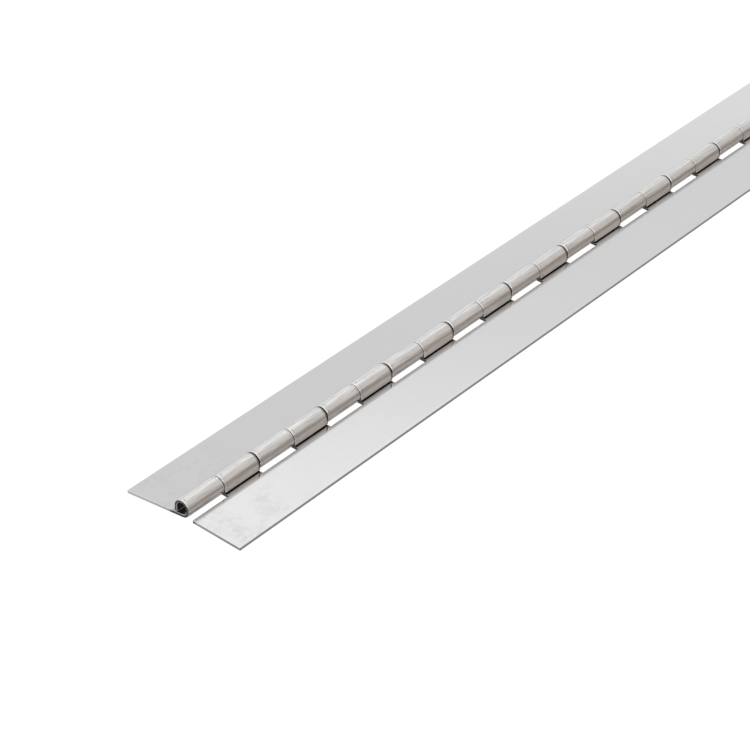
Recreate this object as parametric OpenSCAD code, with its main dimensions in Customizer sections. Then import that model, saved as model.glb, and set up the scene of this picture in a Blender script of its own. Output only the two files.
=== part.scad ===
// Continuous hinge: two leaves rolled from sheet, hinged on one long pin.
// X runs along the pin and Z is up. The hinge lies open with its leaves leaning down a little, so it stands on
// the outer edges of both leaves. The origin is on that surface, under the middle of the pin.
// The fixed leaf lies towards +Y and has the first knuckle; the moving leaf lies towards -Y.

/* [Leaves] */
// Width of a leaf, from the pin's axis to its outer edge
leaf_w = 19.05; // [12:0.05:40]
// Thickness of the sheet
sheet_t = 0.9; // [0.6:0.1:1.2]
// Distance from the pin's axis to the straight back edge of a notch
notch_w = 3.55; // [3.2:0.05:6]
// Angle that each leaf leans below level as the hinge lies
leaf_lean = 4; // [0:0.5:8]

/* [Knuckles] */
// Distance from one knuckle to the next
knuckle_pitch = 12.7; // [8:0.1:50]
// Number of knuckles on each leaf
knuckle_pairs = 12; // [2:1:30]
// Gap at the far end of each fixed knuckle
far_gap = 0.2; // [0.05:0.05:0.3]
// Gap at the near end of each fixed knuckle but the first
near_gap = 0.4; // [0.05:0.05:0.6]
// Gap between a knuckle's rolled end and its own leaf
seam_gap = 0.25; // [0.05:0.05:0.5]
// Angle above its own leaf's direction where the curl stops and the rolled end runs on straight
curl_stop = 7.5; // [0:2.5:10]

/* [Pin] */
// Diameter of the pin
pin_d = 3.175; // [2:0.005:3.5]
// Clearance between the pin and a knuckle's bore, on the radius
pin_play = 0.05; // [0.02:0.01:0.1]
// Depth of the pin's ends inside the barrel
pin_recess = 3.2; // [3.2:0.1:6]
// Chamfer on the pin's ends
pin_chamfer = 0.3; // [0.1:0.1:0.6]

/* [Stakes] */
// Distance of each stake from the end of the barrel
stake_x = 2.1; // [1.8:0.1:2.2]
// Height that a stake stands into the bore, which holds the pin endways
stake_h = 0.4; // [0.2:0.1:0.5]
// Radius of the round-nosed punch that made it
punch_r = 0.8; // [0.6:0.1:0.8]
// Angle of a stake round the barrel, from the leaf's own direction
stake_angle = 240; // [200:5:260]

/* [Hidden] */
$fn = 96;
bore_r = pin_d / 2 + pin_play;
barrel_r = bore_r + sheet_t;
barrel_len = 2 * knuckle_pairs * knuckle_pitch;
knuckle_len = knuckle_pitch - (far_gap + near_gap) / 2;
end_len = (bore_r * (1 + sin(curl_stop)) - seam_gap) / cos(curl_stop);
axis_z = leaf_w * sin(leaf_lean) + barrel_r * cos(leaf_lean);
root_overlap = 1;
fixed_colour = [0.80, 0.80, 0.81];
moving_colour = [0.90, 0.90, 0.91];
pin_colour = [0.62, 0.61, 0.60];

// Sets a section, drawn with the leaf towards +X and its upper side towards +Y, along the pin from x = 0
module along_pin(len) {
    rotate([90, 0, 90]) linear_extrude(len) children();
}

// Section through a knuckle: the sheet runs in under the bore, curls round it and comes straight down to its own
// upper side with a square-cut end
module knuckle_section() {
    wide = 2 * barrel_r;
    difference() {
        union() {
            circle(barrel_r);
            rotate(curl_stop) translate([0, -end_len]) square([barrel_r, end_len]);
            translate([0, -barrel_r]) square([notch_w + root_overlap, sheet_t]);
        }
        circle(bore_r);
        // open space behind the straight end, and the gap under it
        difference() {
            polygon([[0, 0], [0, -bore_r], [wide, -bore_r], [wide, wide * tan(curl_stop)]]);
            rotate(curl_stop) translate([bore_r, -end_len]) square([sheet_t + 1, end_len + 1]);
        }
    }
}

// Section through the leaf beyond the notches
module leaf_section() {
    translate([notch_w, -barrel_r]) square([leaf_w - notch_w, sheet_t]);
}

// Places a stake's ball in the barrel wall at distance r from the pin's axis
module stake_ball(x, r) {
    rotate([stake_angle, 0, 0]) translate([x, r, 0]) sphere(punch_r);
}

// One leaf, towards +Y, with the pin's axis along X. Its knuckles start at first and repeat at every second place
module leaf(first, stake) {
    difference() {
        union() {
            along_pin(barrel_len) leaf_section();
            for (i = [0 : knuckle_pairs - 1])
                translate([first + 2 * i * knuckle_pitch, 0, 0])
                    along_pin(knuckle_len) knuckle_section();
            intersection() {
                stake_ball(stake, bore_r + punch_r - stake_h);
                translate([stake - punch_r, 0, 0]) rotate([0, 90, 0]) cylinder(h = 2 * punch_r, r = barrel_r);
            }
        }
        stake_ball(stake, barrel_r + punch_r - stake_h);
    }
}

// Sets a leaf at its lean, with the middle of the pin's axis over the origin
module as_it_lies() {
    translate([-barrel_len / 2, 0, axis_z]) rotate([-leaf_lean, 0, 0]) children();
}

module fixed_leaf() {
    color(fixed_colour) as_it_lies() leaf(first = 0, stake = stake_x);
}

// The moving leaf is turned round end for end, so its last knuckle closes the far end of the barrel
module moving_leaf() {
    color(moving_colour)
        rotate([0, 0, 180]) as_it_lies() leaf(first = near_gap, stake = stake_x);
}

module pin() {
    pin_len = barrel_len - 2 * pin_recess;
    color(pin_colour)
        translate([-pin_len / 2, 0, axis_z]) rotate([0, 90, 0]) union() {
            cylinder(h = pin_chamfer, r1 = pin_d / 2 - pin_chamfer, r2 = pin_d / 2);
            translate([0, 0, pin_chamfer]) cylinder(h = pin_len - 2 * pin_chamfer, d = pin_d);
            translate([0, 0, pin_len - pin_chamfer])
                cylinder(h = pin_chamfer, r1 = pin_d / 2, r2 = pin_d / 2 - pin_chamfer);
        }
}

fixed_leaf();
moving_leaf();
pin();
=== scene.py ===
import math

import bmesh
import bpy
from mathutils import Matrix, Vector, noise


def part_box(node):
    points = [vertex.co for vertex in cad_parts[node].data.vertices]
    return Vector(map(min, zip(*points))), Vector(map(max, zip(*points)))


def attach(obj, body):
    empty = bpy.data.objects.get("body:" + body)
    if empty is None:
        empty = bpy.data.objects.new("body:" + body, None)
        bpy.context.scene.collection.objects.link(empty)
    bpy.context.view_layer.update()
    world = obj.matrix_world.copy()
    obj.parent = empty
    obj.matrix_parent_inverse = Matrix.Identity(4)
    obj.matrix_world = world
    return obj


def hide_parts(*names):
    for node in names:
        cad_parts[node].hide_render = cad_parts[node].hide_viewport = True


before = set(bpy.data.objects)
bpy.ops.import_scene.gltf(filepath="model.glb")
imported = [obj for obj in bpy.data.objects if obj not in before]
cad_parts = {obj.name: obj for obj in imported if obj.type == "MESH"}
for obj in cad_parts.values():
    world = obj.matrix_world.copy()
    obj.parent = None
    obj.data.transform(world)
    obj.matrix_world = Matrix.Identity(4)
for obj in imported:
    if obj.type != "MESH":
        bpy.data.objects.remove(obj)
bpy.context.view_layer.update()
print("packed hinge loaded")

mm = 0.001
scene = bpy.context.scene
scene.view_settings.view_transform = "Standard"  # plain studio whites

pinLow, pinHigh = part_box("pin")
fixedLow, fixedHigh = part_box("fixed_leaf")
axisZ = (pinLow.z + pinHigh.z) / 2  # height of the pin's axis
barrelRadius = fixedHigh.z - axisZ
hingeLength = fixedHigh.x - fixedLow.x
nearEnd = fixedLow.x


# each leaf starts as a flat comb of sheet, is rounded at its sheared edges, then rolled
leafShape = {
    "width": 19.05 * mm,  # pin's axis to outer edge
    "sheet": 0.9 * mm,
    "notch": 3.55 * mm,  # pin's axis to the back of a notch
    "lean": math.radians(4),
    "pitch": 12.7 * mm,
    "pairs": 12,
    "farGap": 0.2 * mm,
    "nearGap": 0.4 * mm,
    "seamGap": 0.25 * mm,
    "curlStop": math.radians(7.5),  # above the leaf's direction, where the rolled end runs on straight
    "edgeRound": 0.14 * mm,
    "roundSteps": 3,
    "curlSteps": 66,
    "endSteps": 6,
    "rootSteps": 4,
    "plateSteps": 12,
    "knuckleSteps": 8,
    "endLines": [0.15 * mm, 0.3 * mm, 0.5 * mm, 0.8 * mm, 1.2 * mm],  # closer lines, from a knuckle's end
    "rimTurn": 1.0,  # radians; faces that meet at more than this make a sheared edge
    "leastCell": 1e-9,  # a shorter stretch is left out
    "knuckleSlack": 1e-6,  # of two pitches, keeps a knuckle's first line in that knuckle
}
sheetFinish, rolledFinish, cutFinish = 0, 1, 2  # places in a leaf's list of materials
curlFlaws = {
    "flatDepth": 0.024 * mm,  # lengthwise flats that the curling tool leaves
    "flatsPerTurn": 3.6,
    "flatLength": 16 * mm,
    "flatBias": 0.3,  # keeps most of the curl just inside its full radius
    "knuckleShift": 3.7,  # from one knuckle's flats to the next one's
    "seed": {"fixed_leaf": 1.3, "moving_leaf": 47.9},
    "endDraw": {"fixed_leaf": 0.1 * mm, "moving_leaf": 0.03 * mm},  # a knuckle's near end is drawn in
    "endDrawLength": 0.7 * mm,
}
stake = {
    "place": 2.1 * mm,  # from the end of the barrel
    "depth": 0.4 * mm,
    "punch": 0.8 * mm,
    "angle": math.radians(240),
    "steps": 9,  # cells across it
}
boreRadius = barrelRadius - leafShape["sheet"]
knuckleLength = leafShape["pitch"] - (leafShape["farGap"] + leafShape["nearGap"]) / 2
rootAngle = math.radians(270)  # straight below the pin, where the sheet starts to curl
curlAngle = rootAngle - leafShape["curlStop"]  # how far the sheet turns round the pin
endLength = boreRadius * (1 + math.sin(leafShape["curlStop"])) - leafShape["seamGap"]
endLength /= math.cos(leafShape["curlStop"])
neutralRadius = barrelRadius - leafShape["sheet"] / 2


def spread(low, high, steps):
    return [low + (high - low) * i / steps for i in range(steps + 1)]


# lines along one knuckle, closer together at its ends and round a stake
def knuckleLines(start, end, staked):
    steps = leafShape["endLines"]
    lines = [start] + [start + step for step in steps]
    if staked:
        lines += spread(lines[-1], start + stake["place"] * 2 - lines[-1] + start, stake["steps"])[1:]
    lines += spread(lines[-1], end - steps[-1], leafShape["knuckleSteps"])[1:]
    return lines + [end - step for step in reversed(steps[:-1])] + [end]


# lines along the hinge, with the cells that lie in a knuckle marked
def alongLines(first):
    lines, inKnuckle = [0.0], []

    def bare(end):  # a stretch without a knuckle, in cells no narrower than the edges' rounding needs
        steps = round((end - lines[-1]) / leafShape["pitch"] * leafShape["knuckleSteps"])
        if end > lines[-1] + leafShape["leastCell"]:
            cells = spread(lines[-1], end, max(1, steps))[1:]
            lines.extend(cells)
            inKnuckle.extend([False] * len(cells))

    for i in range(leafShape["pairs"]):
        start = first + i * 2 * leafShape["pitch"]
        bare(start)
        inside = knuckleLines(start, start + knuckleLength, i == 0)[1:]
        lines += inside
        inKnuckle += [True] * len(inside)
    bare(hingeLength)
    return lines, inKnuckle


# lines across the sheet, from the rolled end (negative) past the root to the outer edge
def acrossLines():
    curlStart = -curlAngle * neutralRadius
    lines = spread(curlStart - endLength, curlStart, leafShape["endSteps"])
    lines += spread(curlStart, 0, leafShape["curlSteps"])[1:]
    lines += spread(0, leafShape["notch"], leafShape["rootSteps"])[1:]
    tongueCells = len(lines) - 1
    lines += spread(leafShape["notch"], leafShape["width"], leafShape["plateSteps"])[1:]
    return lines, tongueCells


def flatComb(first):
    xs, inKnuckle = alongLines(first)
    ss, tongueCells = acrossLines()
    comb = bmesh.new()
    points = {}

    def point(i, j, top):
        if (i, j, top) not in points:
            height = leafShape["sheet"] if top else 0.0
            points[(i, j, top)] = comb.verts.new((xs[i], ss[j], height))
        return points[(i, j, top)]

    def solid(i, j):
        if not (0 <= i < len(xs) - 1 and 0 <= j < len(ss) - 1):
            return False
        return j >= tongueCells or inKnuckle[i]

    for i in range(len(xs) - 1):
        for j in range(len(ss) - 1):
            if not solid(i, j):
                continue
            corners = [(i, j), (i + 1, j), (i + 1, j + 1), (i, j + 1)]
            comb.faces.new([point(a, b, True) for a, b in corners])
            comb.faces.new([point(a, b, False) for a, b in reversed(corners)])
            sides = [(i, j - 1), (i + 1, j), (i, j + 1), (i - 1, j)]
            for k, side in enumerate(sides):
                if solid(*side):
                    continue
                a, b = corners[k], corners[(k + 1) % 4]
                wall = [point(*a, False), point(*b, False), point(*b, True), point(*a, True)]
                comb.faces.new(wall).material_index = cutFinish
    comb.normal_update()
    inner = [e for e in comb.edges if len(e.link_faces) == 2]
    rims = [e for e in inner if e.calc_face_angle() > leafShape["rimTurn"]]
    bmesh.ops.bevel(
        comb, geom=rims, offset=leafShape["edgeRound"], segments=leafShape["roundSteps"],
        profile=0.5, affect="EDGES", clamp_overlap=True, material=sheetFinish,
    )
    for face in comb.faces:
        if face.material_index == sheetFinish and face.calc_center_median().y < 0:
            face.material_index = rolledFinish
    return comb


def stakeDepth(x, angle, first):
    aside = x - first - stake["place"]
    around = (angle - stake["angle"]) * barrelRadius
    away = math.hypot(aside, around)
    if away >= stake["punch"]:
        return 0.0
    return max(0.0, stake["depth"] - stake["punch"] + math.sqrt(stake["punch"] ** 2 - away ** 2))


# where a point of the flat comb comes to lie, in the leaf's own frame
def rolled(x, s, height, body, first):
    radius = barrelRadius - height
    if s >= 0:
        return Vector((x, s, -radius))
    turned = -s / neutralRadius
    knuckle = math.floor((x - first) / (2 * leafShape["pitch"]) + leafShape["knuckleSlack"])
    start = first + knuckle * 2 * leafShape["pitch"]
    shift = curlFlaws["seed"][body] + knuckle * curlFlaws["knuckleShift"]
    spot = Vector((x / curlFlaws["flatLength"], turned * curlFlaws["flatsPerTurn"], shift))
    outer = 1 - height / leafShape["sheet"]
    radius += curlFlaws["flatDepth"] * (noise.noise(spot) - curlFlaws["flatBias"]) * min(1, turned) * outer
    fromEnd = x - start if body == "fixed_leaf" else start + knuckleLength - x
    drawn = max(0.0, 1 - fromEnd / curlFlaws["endDrawLength"])
    radius -= curlFlaws["endDraw"][body] * drawn ** 2 * outer * min(1, turned)
    angle = rootAngle - min(turned, curlAngle)
    radius -= stakeDepth(x, angle, first)
    straight = max(0.0, turned - curlAngle) * neutralRadius
    y = radius * math.cos(angle) + straight * math.sin(angle)
    z = radius * math.sin(angle) - straight * math.cos(angle)
    return Vector((x, y, z))


# the large flat faces set the shading, so that only the rounded edges turn
def evenOut(mesh):
    leaning = [Vector() for vert in mesh.vertices]
    for face in mesh.polygons:
        for index in face.vertices:
            leaning[index] += face.normal * (face.area / mm ** 2)
    mesh.normals_split_custom_set_from_vertices([total.normalized() for total in leaning])


def leafPiece(name, body, first, turn):
    comb = flatComb(first)
    place = (
        Matrix.Rotation(turn, 4, "Z")
        @ Matrix.Translation((-hingeLength / 2, 0, axisZ))
        @ Matrix.Rotation(-leafShape["lean"], 4, "X")
    )
    for vert in comb.verts:
        vert.co = place @ rolled(*vert.co, body, first)
    bmesh.ops.recalc_face_normals(comb, faces=comb.faces)
    for face in comb.faces:
        face.smooth = True
    mesh = bpy.data.meshes.new(name)
    comb.to_mesh(mesh)
    comb.free()
    evenOut(mesh)
    piece = bpy.data.objects.new(name, mesh)
    scene.collection.objects.link(piece)
    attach(piece, body)
    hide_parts(body)
    return piece


fixedLeaf = leafPiece("fixedLeafSheet", "fixed_leaf", 0.0, 0.0)
movingLeaf = leafPiece("movingLeafSheet", "moving_leaf", leafShape["nearGap"], math.pi)
print("leaves rolled")


def put(tree, kind, values=None, **settings):
    made = tree.nodes.new("ShaderNode" + kind)
    for name, value in settings.items():
        setattr(made, name, value)
    for name, value in (values or {}).items():
        if isinstance(value, bpy.types.NodeSocket):
            tree.links.new(value, made.inputs[name])
        else:
            made.inputs[name].default_value = value
    return made


def calc(tree, operation, a, b=0.0, clamp=False):
    return put(tree, "Math", {0: a, 1: b}, operation=operation, use_clamp=clamp).outputs[0]


def ease(tree, value, low, high, toLow=0.0, toHigh=1.0):
    values = {"Value": value, "From Min": low, "From Max": high, "To Min": toLow, "To Max": toHigh}
    return put(tree, "MapRange", values, interpolation_type="SMOOTHSTEP").outputs["Result"]


def newGroup(name, inputs, outputs):
    tree = bpy.data.node_groups.new(name, "ShaderNodeTree")
    for title, value in inputs.items():
        tree.interface.new_socket(title, in_out="INPUT", socket_type="NodeSocketFloat").default_value = value
    for title in outputs:
        tree.interface.new_socket(title, in_out="OUTPUT", socket_type="NodeSocketFloat")
    return tree, put(tree, "TexCoord").outputs["Object"]


def coordinate(tree, axis):
    return put(tree, "SeparateXYZ", {0: put(tree, "TexCoord").outputs["Object"]}).outputs[axis]


def groupSides(tree):
    return tree.nodes.new("NodeGroupInput").outputs, tree.nodes.new("NodeGroupOutput").inputs


grainNoise = {"Scale": 1.0, "Detail": 3.0, "Roughness": 0.6}
grainSpan = (0.3, 0.7)  # most of the grain's tone lies between these


# fine grain drawn out along the hinge, as rolling and curling leave it
def makeGrain():
    tree, where = newGroup("grain", {"Along": 90.0, "Across": 4000.0}, ["Tone"])
    given, result = groupSides(tree)
    stretch = put(tree, "CombineXYZ", {"X": given["Along"], "Y": given["Across"], "Z": given["Across"]})
    spot = put(tree, "VectorMath", {0: where, 1: stretch.outputs[0]}, operation="MULTIPLY").outputs[0]
    cloud = put(tree, "TexNoise", {"Vector": spot, **grainNoise})
    tree.links.new(cloud.outputs[0], result["Tone"])
    return tree


handling = {
    "fine": {"Detail": 6.0, "Roughness": 0.72},
    "broad": {"Detail": 2.0},
    "broadSize": 0.28,  # of the fine blots' size setting
    "fineSpan": (0.4, 0.7),  # noise level where a blot starts, and where it is full
    "broadSpan": (0.38, 0.58),
    "fade": (0.45, 1.0),  # of the reach, where the marks thin out
}


# mottled marks from handling, thickest at the near end
def makeHandMarks():
    tree, where = newGroup("handMarks", {"Size": 300.0, "Reach": 0.03, "Least": 0.1}, ["Mask"])
    given, result = groupSides(tree)
    fine = put(tree, "TexNoise", {"Vector": where, "Scale": given["Size"], **handling["fine"]})
    broadSize = calc(tree, "MULTIPLY", given["Size"], handling["broadSize"])
    broad = put(tree, "TexNoise", {"Vector": where, "Scale": broadSize, **handling["broad"]})
    fineBlots = ease(tree, fine.outputs[0], *handling["fineSpan"])
    broadBlots = ease(tree, broad.outputs[0], *handling["broadSpan"])
    blots = calc(tree, "MULTIPLY", fineBlots, broadBlots)
    along = put(tree, "SeparateXYZ", {0: where}).outputs["X"]
    fromEnd = calc(tree, "DIVIDE", calc(tree, "SUBTRACT", along, nearEnd), given["Reach"])
    fade = calc(tree, "MAXIMUM", ease(tree, fromEnd, *handling["fade"], 1.0, 0.0), given["Least"])
    tree.links.new(calc(tree, "MULTIPLY", blots, fade), result["Mask"])
    return tree


curling = {
    "rise": (0.035, 0.05),  # of a pitch from the joint, where the marks fade in
    "fall": (0.075, 0.12),
    "noise": {"Scale": 1.0, "Detail": 2.0},
    "strokeSpan": (0.54, 0.66),
}


# short marks round the barrel near the end of each knuckle
def makeRoundMarks():
    tree, where = newGroup("roundMarks", {"Pitch": 0.0127, "Lines": 2600.0, "Breaks": 1300.0}, ["Mask"])
    given, result = groupSides(tree)
    split = put(tree, "SeparateXYZ", {0: where}).outputs
    turns = calc(tree, "DIVIDE", calc(tree, "SUBTRACT", split["X"], nearEnd), given["Pitch"])
    fromJoint = calc(tree, "PINGPONG", turns, 0.5)
    rise = ease(tree, fromJoint, *curling["rise"])
    fall = ease(tree, fromJoint, *curling["fall"], 1.0, 0.0)
    stretch = put(tree, "CombineXYZ", {"X": given["Lines"], "Y": given["Breaks"], "Z": given["Breaks"]})
    spot = put(tree, "VectorMath", {0: where, 1: stretch.outputs[0]}, operation="MULTIPLY").outputs[0]
    cloud = put(tree, "TexNoise", {"Vector": spot, **curling["noise"]})
    strokes = ease(tree, cloud.outputs[0], *curling["strokeSpan"])
    band = calc(tree, "MULTIPLY", rise, fall)
    tree.links.new(calc(tree, "MULTIPLY", strokes, band), result["Mask"])
    return tree


grain, handMarks, roundMarks = makeGrain(), makeHandMarks(), makeRoundMarks()


def useGroup(tree, group, values):
    made = tree.nodes.new("ShaderNodeGroup")
    made.node_tree = group
    for name, value in values.items():
        made.inputs[name].default_value = value
    return made.outputs[0]


def tint(tree, factor, plain, marked):
    mixed = put(tree, "Mix", {"Factor": factor}, data_type="RGBA")
    for slot, colour in (("A", plain), ("B", marked)):
        if isinstance(colour, bpy.types.NodeSocket):
            tree.links.new(colour, mixed.inputs[slot])
        else:
            mixed.inputs[slot].default_value = (*colour, 1)
    return mixed.outputs["Result"]


def newSteel(name):
    material = bpy.data.materials.new(name)
    material.use_nodes = True
    shader = material.node_tree.nodes["Principled BSDF"]
    shader.inputs["Metallic"].default_value = 1
    return material, material.node_tree, shader.inputs


leafLook = {
    "colour": (0.715, 0.715, 0.722),
    "streak": (0.69, 0.69, 0.698),
    "handled": (0.635, 0.605, 0.612),
    "grain": {"Along": 90.0, "Across": 5000.0},
    "marks": {"Size": 420.0, "Reach": 0.036, "Least": 0.12},
    "roughness": (0.1, 0.15),
    "handledRoughness": 0.1,
    "seamShadeAndDirt": (0.37, 0.355, 0.345),  # painted shade, with some dirt, on the sheet where the rolled ends come down
    "seamShadeReach": (2.7 * mm, 4.1 * mm),  # from the pin's axis
    "grainDepth": 0.0000015,
}


def makeLeafSteel():
    material, tree, shader = newSteel("leafSteel")
    lines = useGroup(tree, grain, leafLook["grain"])
    marks = useGroup(tree, handMarks, leafLook["marks"])
    sheet = tint(tree, lines, leafLook["colour"], leafLook["streak"])
    sheet = tint(tree, marks, sheet, leafLook["handled"])
    across = coordinate(tree, "Y")
    # painted shade, with some dirt: the sheet is darkened near the rolled ends
    shadeAndDirt = ease(tree, calc(tree, "ABSOLUTE", across), *leafLook["seamShadeReach"], 1.0, 0.0)
    tree.links.new(tint(tree, shadeAndDirt, sheet, leafLook["seamShadeAndDirt"]), shader["Base Color"])
    rough = ease(tree, lines, *grainSpan, *leafLook["roughness"])
    rough = calc(tree, "ADD", rough, calc(tree, "MULTIPLY", marks, leafLook["handledRoughness"]))
    tree.links.new(rough, shader["Roughness"])
    bump = put(tree, "Bump", {"Height": lines, "Strength": 1.0, "Distance": leafLook["grainDepth"]})
    tree.links.new(bump.outputs[0], shader["Normal"])
    return material


barrelLook = {
    "colour": (0.765, 0.765, 0.76),
    "warmer": (0.70, 0.69, 0.675),
    "streak": (0.54, 0.53, 0.515),
    "marked": (0.42, 0.40, 0.38),
    "jointShadeAndDirt": (0.2, 0.19, 0.18),  # painted shade in the wider gaps, with some dirt, on the moving knuckles' far edges
    "jointShadeReach": (0.958, 0.976),  # of the way from one fixed knuckle to the next
    "grain": {"Along": 190.0, "Across": 3600.0},
    "drawnGrain": {"Along": 80.0, "Across": 1300.0},
    "marks": {"Pitch": leafShape["pitch"], "Lines": 2600.0, "Breaks": 1300.0},
    "streakSpan": (0.45, 0.75),  # grain tone where a streak starts, and where it is full
    "roughness": (0.13, 0.24),
    "grainDepth": 0.00003,
    "drawnDepth": 0.00009,
    "markDepth": 0.00002,
}


def makeBarrelSteel():
    material, tree, shader = newSteel("barrelSteel")
    lines = useGroup(tree, grain, barrelLook["grain"])
    drawn = useGroup(tree, grain, barrelLook["drawnGrain"])
    marks = useGroup(tree, roundMarks, barrelLook["marks"])
    sheet = tint(tree, ease(tree, drawn, *grainSpan), barrelLook["colour"], barrelLook["warmer"])
    sheet = tint(tree, ease(tree, lines, *barrelLook["streakSpan"]), sheet, barrelLook["streak"])
    sheet = tint(tree, marks, sheet, barrelLook["marked"])
    # painted shade, with some dirt: the moving knuckles' far edges are darkened by the wider gaps
    along = coordinate(tree, "X")
    pairs = calc(tree, "DIVIDE", calc(tree, "SUBTRACT", along, nearEnd), leafShape["pitch"] * 2)
    shadeAndDirt = ease(tree, calc(tree, "FRACT", pairs), *barrelLook["jointShadeReach"])
    tree.links.new(tint(tree, shadeAndDirt, sheet, barrelLook["jointShadeAndDirt"]), shader["Base Color"])
    rough = ease(tree, lines, *grainSpan, *barrelLook["roughness"])
    tree.links.new(rough, shader["Roughness"])
    broad = put(tree, "Bump", {"Height": drawn, "Strength": 1.0, "Distance": barrelLook["drawnDepth"]})
    fine = put(tree, "Bump", {"Height": lines, "Strength": 1.0, "Distance": barrelLook["grainDepth"]})
    tree.links.new(broad.outputs[0], fine.inputs["Normal"])
    values = {"Height": marks, "Strength": 1.0, "Distance": barrelLook["markDepth"]}
    bump = put(tree, "Bump", values, invert=True)
    tree.links.new(fine.outputs[0], bump.inputs["Normal"])
    tree.links.new(bump.outputs[0], shader["Normal"])
    return material


cutLook = {
    "colour": (0.1, 0.098, 0.095),
    "burnished": (0.21, 0.206, 0.203),
    "rim": (0.66, 0.655, 0.65),  # outer edges of the leaves, worn bright
    "rimReach": (leafShape["notch"], leafShape["notch"] * 1.4),  # from the pin's axis
    "grain": {"Along": 2500.0, "Across": 2500.0},
    "burnishSpan": (0.4, 0.7),
    "roughness": (0.35, 0.55),
    "tearDepth": 0.00001,
}


def makeCutSteel():
    material, tree, shader = newSteel("cutSteel")
    tears = useGroup(tree, grain, cutLook["grain"])
    colour = tint(tree, ease(tree, tears, *cutLook["burnishSpan"]), cutLook["colour"], cutLook["burnished"])
    across = coordinate(tree, "Y")
    outer = ease(tree, calc(tree, "ABSOLUTE", across), *cutLook["rimReach"])
    colour = tint(tree, outer, colour, cutLook["rim"])
    tree.links.new(colour, shader["Base Color"])
    tree.links.new(ease(tree, tears, *grainSpan, *cutLook["roughness"]), shader["Roughness"])
    bump = put(tree, "Bump", {"Height": tears, "Strength": 1.0, "Distance": cutLook["tearDepth"]})
    tree.links.new(bump.outputs[0], shader["Normal"])
    return material


# the pin's colour is kept very dark: painted shade for the gaps it is seen through, with some oil
pinLook = {
    "colour": (0.15, 0.147, 0.143),
    "drawn": (0.1, 0.098, 0.095),
    "grain": {"Along": 60.0, "Across": 6000.0},
    "roughness": (0.25, 0.4),
    "grainDepth": 0.000004,
}


def makePinSteel():
    material, tree, shader = newSteel("pinSteel")
    lines = useGroup(tree, grain, pinLook["grain"])
    tree.links.new(tint(tree, lines, pinLook["colour"], pinLook["drawn"]), shader["Base Color"])
    tree.links.new(ease(tree, lines, *grainSpan, *pinLook["roughness"]), shader["Roughness"])
    bump = put(tree, "Bump", {"Height": lines, "Strength": 1.0, "Distance": pinLook["grainDepth"]})
    tree.links.new(bump.outputs[0], shader["Normal"])
    return material


sheetFinishes = [makeLeafSteel(), makeBarrelSteel(), makeCutSteel()]
for leaf in (fixedLeaf, movingLeaf):
    for finish in sheetFinishes:
        leaf.data.materials.append(finish)
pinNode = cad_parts["pin"]
pinNode.data.materials.clear()
pinNode.data.materials.append(makePinSteel())
print("finishes made")


studio = {
    "strength": 1.25,
    # how bright the surroundings are at each height, from the horizon (0) to overhead (1); the far side's
    # steps are fitted to how the leaves shade from the camera, so they aren't plain studio light
    "far": [
        (0.0, 0.80), (0.36, 0.82), (0.41, 0.74), (0.425, 0.69), (0.44, 0.673), (0.5, 0.67), (0.535, 0.725),
        (0.565, 0.705), (0.605, 0.728), (0.613, 0.735), (0.622, 0.80), (0.64, 0.86), (0.66, 0.94),
        (0.7, 0.93), (1.0, 0.93),
    ],
    "near": [
        (0.0, 0.32), (0.08, 0.34), (0.18, 0.39), (0.3, 0.52), (0.42, 0.61), (0.72, 0.58), (0.86, 0.72),
        (1.0, 0.9),
    ],
    "nearLow": (1.0, 0.89, 0.81),  # warm near the horizon
    "nearHigh": (1.0, 0.975, 0.96),
    "strip": 2.4,  # a short strip light above the near end, which picks out the knuckles' ends
    "stripReach": {  # where it fades in, is full from and to, and fades out, by direction
        "X": (-0.46, -0.34, -0.2, -0.08),
        "Y": (-0.95, -0.8, 0.1, 0.25),
        "Z": (0.3, 0.45, 0.9, 0.95),
    },
    "warmReach": (0.2, 0.7),  # height where the near side turns from its low tint to its high one
    "sideReach": (-0.3, 0.45),  # where the near side passes into the far one
    "backdrop": 1.05,  # what the camera sees behind the hinge
    "floorSize": 3.0,  # metres from its middle to each side
    "floorWhite": 1.05,
    "floorSides": (-0.02, 0.02),  # metres, where the near half passes into the far one
    "floorFar": 0.65,
    "floorNear": (0.305, 0.282, 0.265),
}


def makeFloor():
    size = studio["floorSize"]
    mesh = bpy.data.meshes.new("studioFloor")
    corners = [(-size, -size, 0), (size, -size, 0), (size, size, 0), (-size, size, 0)]
    mesh.from_pydata(corners, [], [(0, 1, 2, 3)])
    floor = bpy.data.objects.new("studioFloor", mesh)
    scene.collection.objects.link(floor)
    material = bpy.data.materials.new("whiteFloor")
    material.use_nodes = True
    tree = material.node_tree
    tree.nodes.clear()
    across = coordinate(tree, "Y")
    side = ease(tree, across, *studio["floorSides"])
    gloss = tint(tree, side, studio["floorNear"], (studio["floorFar"],) * 3)
    seen = put(tree, "Emission", {"Color": gloss, "Strength": 1.0}).outputs[0]
    white = put(tree, "Emission", {"Color": (1, 1, 1, 1), "Strength": studio["floorWhite"]}).outputs[0]
    reflected = put(tree, "LightPath").outputs["Is Glossy Ray"]
    pick = put(tree, "MixShader", {"Fac": reflected, 1: white, 2: seen}).outputs[0]
    put(tree, "OutputMaterial", {"Surface": pick})
    mesh.materials.append(material)
    floor.visible_camera = False
    return floor


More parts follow.
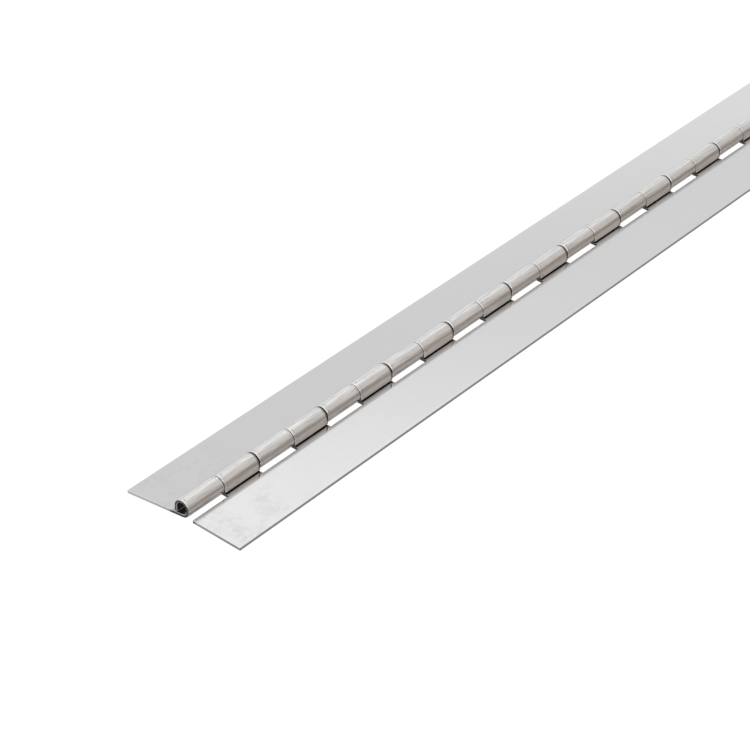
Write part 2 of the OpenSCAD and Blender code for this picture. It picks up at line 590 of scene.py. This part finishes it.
def makeWorld():
    world = bpy.data.worlds.new("studioLight")
    scene.world = world
    world.use_nodes = True
    tree = world.node_tree
    tree.nodes.clear()
    aim = put(tree, "SeparateXYZ", {0: put(tree, "TexCoord").outputs["Generated"]}).outputs

    def ramp(steps):
        made = put(tree, "ValToRGB", {"Fac": aim["Z"]})
        stops = made.color_ramp.elements
        for index, (place, level) in enumerate(steps):
            stop = stops[index] if index < 2 else stops.new(place)
            stop.position = place
            stop.color = (level, level, level, 1)
        return made.outputs["Color"]

    warm = tint(tree, ease(tree, aim["Z"], *studio["warmReach"]), studio["nearLow"], studio["nearHigh"])
    near = put(tree, "Mix", {"Factor": 1.0, "A": (0, 0, 0, 1)}, data_type="RGBA", blend_type="MULTIPLY")
    tree.links.new(ramp(studio["near"]), near.inputs["A"])
    tree.links.new(warm, near.inputs["B"])
    side = ease(tree, aim["Y"], *studio["sideReach"])
    both = put(tree, "Mix", data_type="RGBA")
    tree.links.new(side, both.inputs["Factor"])
    tree.links.new(near.outputs["Result"], both.inputs["A"])
    tree.links.new(ramp(studio["far"]), both.inputs["B"])
    strip = 1.0
    for axis, (fadeIn, fullFrom, fullTo, fadeOut) in studio["stripReach"].items():
        strip = calc(tree, "MULTIPLY", strip, ease(tree, aim[axis], fadeIn, fullFrom))
        strip = calc(tree, "MULTIPLY", strip, ease(tree, aim[axis], fullTo, fadeOut, 1.0, 0.0))
    whole = tint(tree, strip, both.outputs["Result"], (studio["strip"],) * 3)
    light = put(tree, "Background", {"Color": whole, "Strength": studio["strength"]})
    backdrop = put(tree, "Background", {"Color": (1, 1, 1, 1), "Strength": studio["backdrop"]})
    direct = put(tree, "LightPath").outputs["Is Camera Ray"]
    pick = put(tree, "MixShader", {"Fac": direct, 1: light.outputs[0], 2: backdrop.outputs[0]})
    put(tree, "OutputWorld", {"Surface": pick.outputs[0]})


cameraSetup = {
    "aim": (-79.36 * mm, 0.98 * mm, axisZ + 0.03 * mm),
    "distance": 630.7 * mm,
    "heading": 41.289,  # degrees from the hinge's length
    "tilt": 33.361,  # degrees down
    "roll": 1.91,
    "lens": 116.83,
    "sensor": 36,
    "clip": (0.01, 20),
}


def makeCamera():
    data = bpy.data.cameras.new("camera")
    data.lens = cameraSetup["lens"]
    data.sensor_width = cameraSetup["sensor"]
    data.clip_start, data.clip_end = cameraSetup["clip"]
    camera = bpy.data.objects.new("camera", data)
    scene.collection.objects.link(camera)
    heading, tilt = math.radians(cameraSetup["heading"]), math.radians(cameraSetup["tilt"])
    sight = Vector((math.cos(heading) * math.cos(tilt), math.sin(heading) * math.cos(tilt), -math.sin(tilt)))
    turn = sight.to_track_quat("-Z", "Y").to_matrix().to_4x4()
    roll = Matrix.Rotation(-math.radians(cameraSetup["roll"]), 4, "Z")
    place = Matrix.Translation(Vector(cameraSetup["aim"]) - sight * cameraSetup["distance"])
    camera.matrix_world = place @ turn @ roll
    scene.camera = camera


makeFloor()
makeWorld()
makeCamera()
print("studio set")
